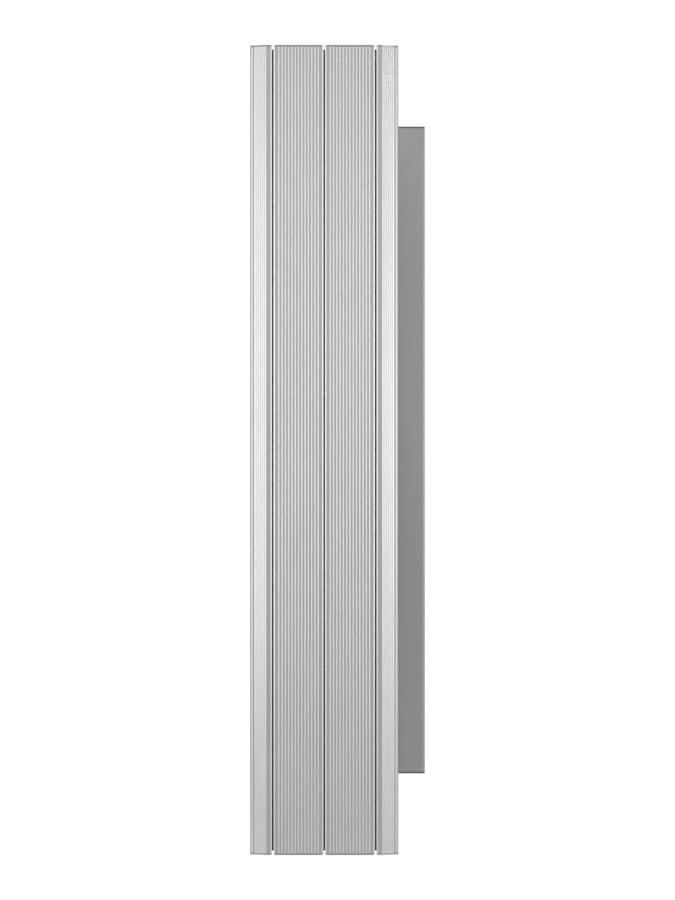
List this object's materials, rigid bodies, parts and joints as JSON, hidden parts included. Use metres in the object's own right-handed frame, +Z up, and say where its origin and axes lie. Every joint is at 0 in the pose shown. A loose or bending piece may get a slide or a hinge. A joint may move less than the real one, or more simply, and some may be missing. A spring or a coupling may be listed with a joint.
{
  "type": "radiator with valve",
  "caption": "Tall vertical radiator of ribbed aluminium elements with bevelled flanks, headers behind, and a slim side casing that hides the riser and the corner valves",
  "frame": {"origin": "centre of the rectangle of the four wall fixings, on the wall plane", "axes": "+Z up along the elements, the wall is the plane y = 0, the front faces -Y, +X to the right seen from the front"},
  "size_m": [0.389, 0.11, 1.8],
  "materials": {
    "satin_aluminium": "satin anodised extrusion",
    "cap_aluminium": "satin anodised plate",
    "black_rubber": "matte black",
    "painted_steel": "silver grey powder coat",
    "zinc_steel": "zinc plated",
    "brass": "turned brass",
    "chrome": "nickel plated brass",
    "white_plastic": "fine textured",
    "grey_plastic": "moulded",
    "grey_cover": "satin grey powder coat",
    "dark_cap": "dark grey powder coat"
  },
  "bodies": {
    "radiator": {"bottom_cap_edge_left": "cap_aluminium", "bottom_cap_edge_right": "cap_aluminium", "bottom_cap_plain_left": "cap_aluminium", "bottom_cap_plain_right": "cap_aluminium", "bracket_pads": "grey_plastic", "casing_arms": "zinc_steel", "casing_base": "zinc_steel", "compression_nuts": "chrome", "compression_olives": "brass", "element_edge_left": "satin_aluminium", "element_edge_right": "satin_aluminium", "element_plain_left": "satin_aluminium", "element_plain_right": "satin_aluminium", "gap_strip_left": "black_rubber", "gap_strip_middle": "black_rubber", "gap_strip_right": "black_rubber", "head_base": "white_plastic", "head_collar": "chrome", "header_bottom": "painted_steel", "header_nipples_bottom": "brass", "header_nipples_top": "brass", "header_plugs": "brass", "header_top": "painted_steel", "lockshield_body": "chrome", "lockshield_gland": "chrome", "nipple_seals": "black_rubber", "rail_bottom": "painted_steel", "rail_screws": "zinc_steel", "rail_top": "painted_steel", "return_connector": "chrome", "return_pipe": "chrome", "riser_connector": "chrome", "riser_pipe": "chrome", "slot_nuts": "zinc_steel", "top_cap_edge_left": "cap_aluminium", "top_cap_edge_right": "cap_aluminium", "top_cap_plain_left": "cap_aluminium", "top_cap_plain_right": "cap_aluminium", "tube_plugs": "brass", "valve_body": "chrome", "valve_bonnet": "chrome", "valve_spring": "zinc_steel", "vent_body": "brass", "wall_bracket_bottom_left": "painted_steel", "wall_bracket_bottom_right": "painted_steel", "wall_bracket_top_left": "painted_steel", "wall_bracket_top_right": "painted_steel"},
    "handwheel": {"handwheel": "white_plastic"},
    "spindle": {"valve_spindle": "brass", "valve_disc": "black_rubber", "sensor_capsule": "white_plastic"},
    "lock_cap": {"lockshield_cap": "white_plastic"},
    "lock_spindle": {"lockshield_spindle": "brass"},
    "vent": {"vent_screw": "brass"},
    "cover": {"casing_cover": "grey_cover", "casing_cap_top": "dark_cap", "casing_cap_bottom": "dark_cap", "cover_guides": "zinc_steel"}
  },
  "joints": [
    {"name": "wheel_turn", "type": "hinge", "parent": "radiator", "child": "handwheel", "pos_m": [0.196, -0.031, -0.6], "axis": [1, 0, 0], "range_deg": [0, 300]},
    {"name": "spindle_lift", "type": "slide", "parent": "radiator", "child": "spindle", "axis": [1, 0, 0], "range_m": [0, 0.003]},
    {"name": "lock_cap_pull", "type": "slide", "parent": "radiator", "child": "lock_cap", "axis": [1, 0, 0], "range_m": [0, 0.025]},
    {"name": "lock_turn", "type": "hinge", "parent": "radiator", "child": "lock_spindle", "pos_m": [0.165, -0.031, -0.65], "axis": [1, 0, 0], "range_deg": [0, 720]},
    {"name": "vent_turn", "type": "hinge", "parent": "radiator", "child": "vent", "pos_m": [-0.16, -0.031, 0.82], "axis": [-1, 0, 0], "range_deg": [0, 360]},
    {"name": "cover_slide", "type": "slide", "parent": "radiator", "child": "cover", "axis": [1, 0, 0], "range_m": [0, 0.14]}
  ],
  "couplings": [
    {"joint": "spindle_lift", "follows": "wheel_turn", "m_per_rad": 0.000572}
  ]
}
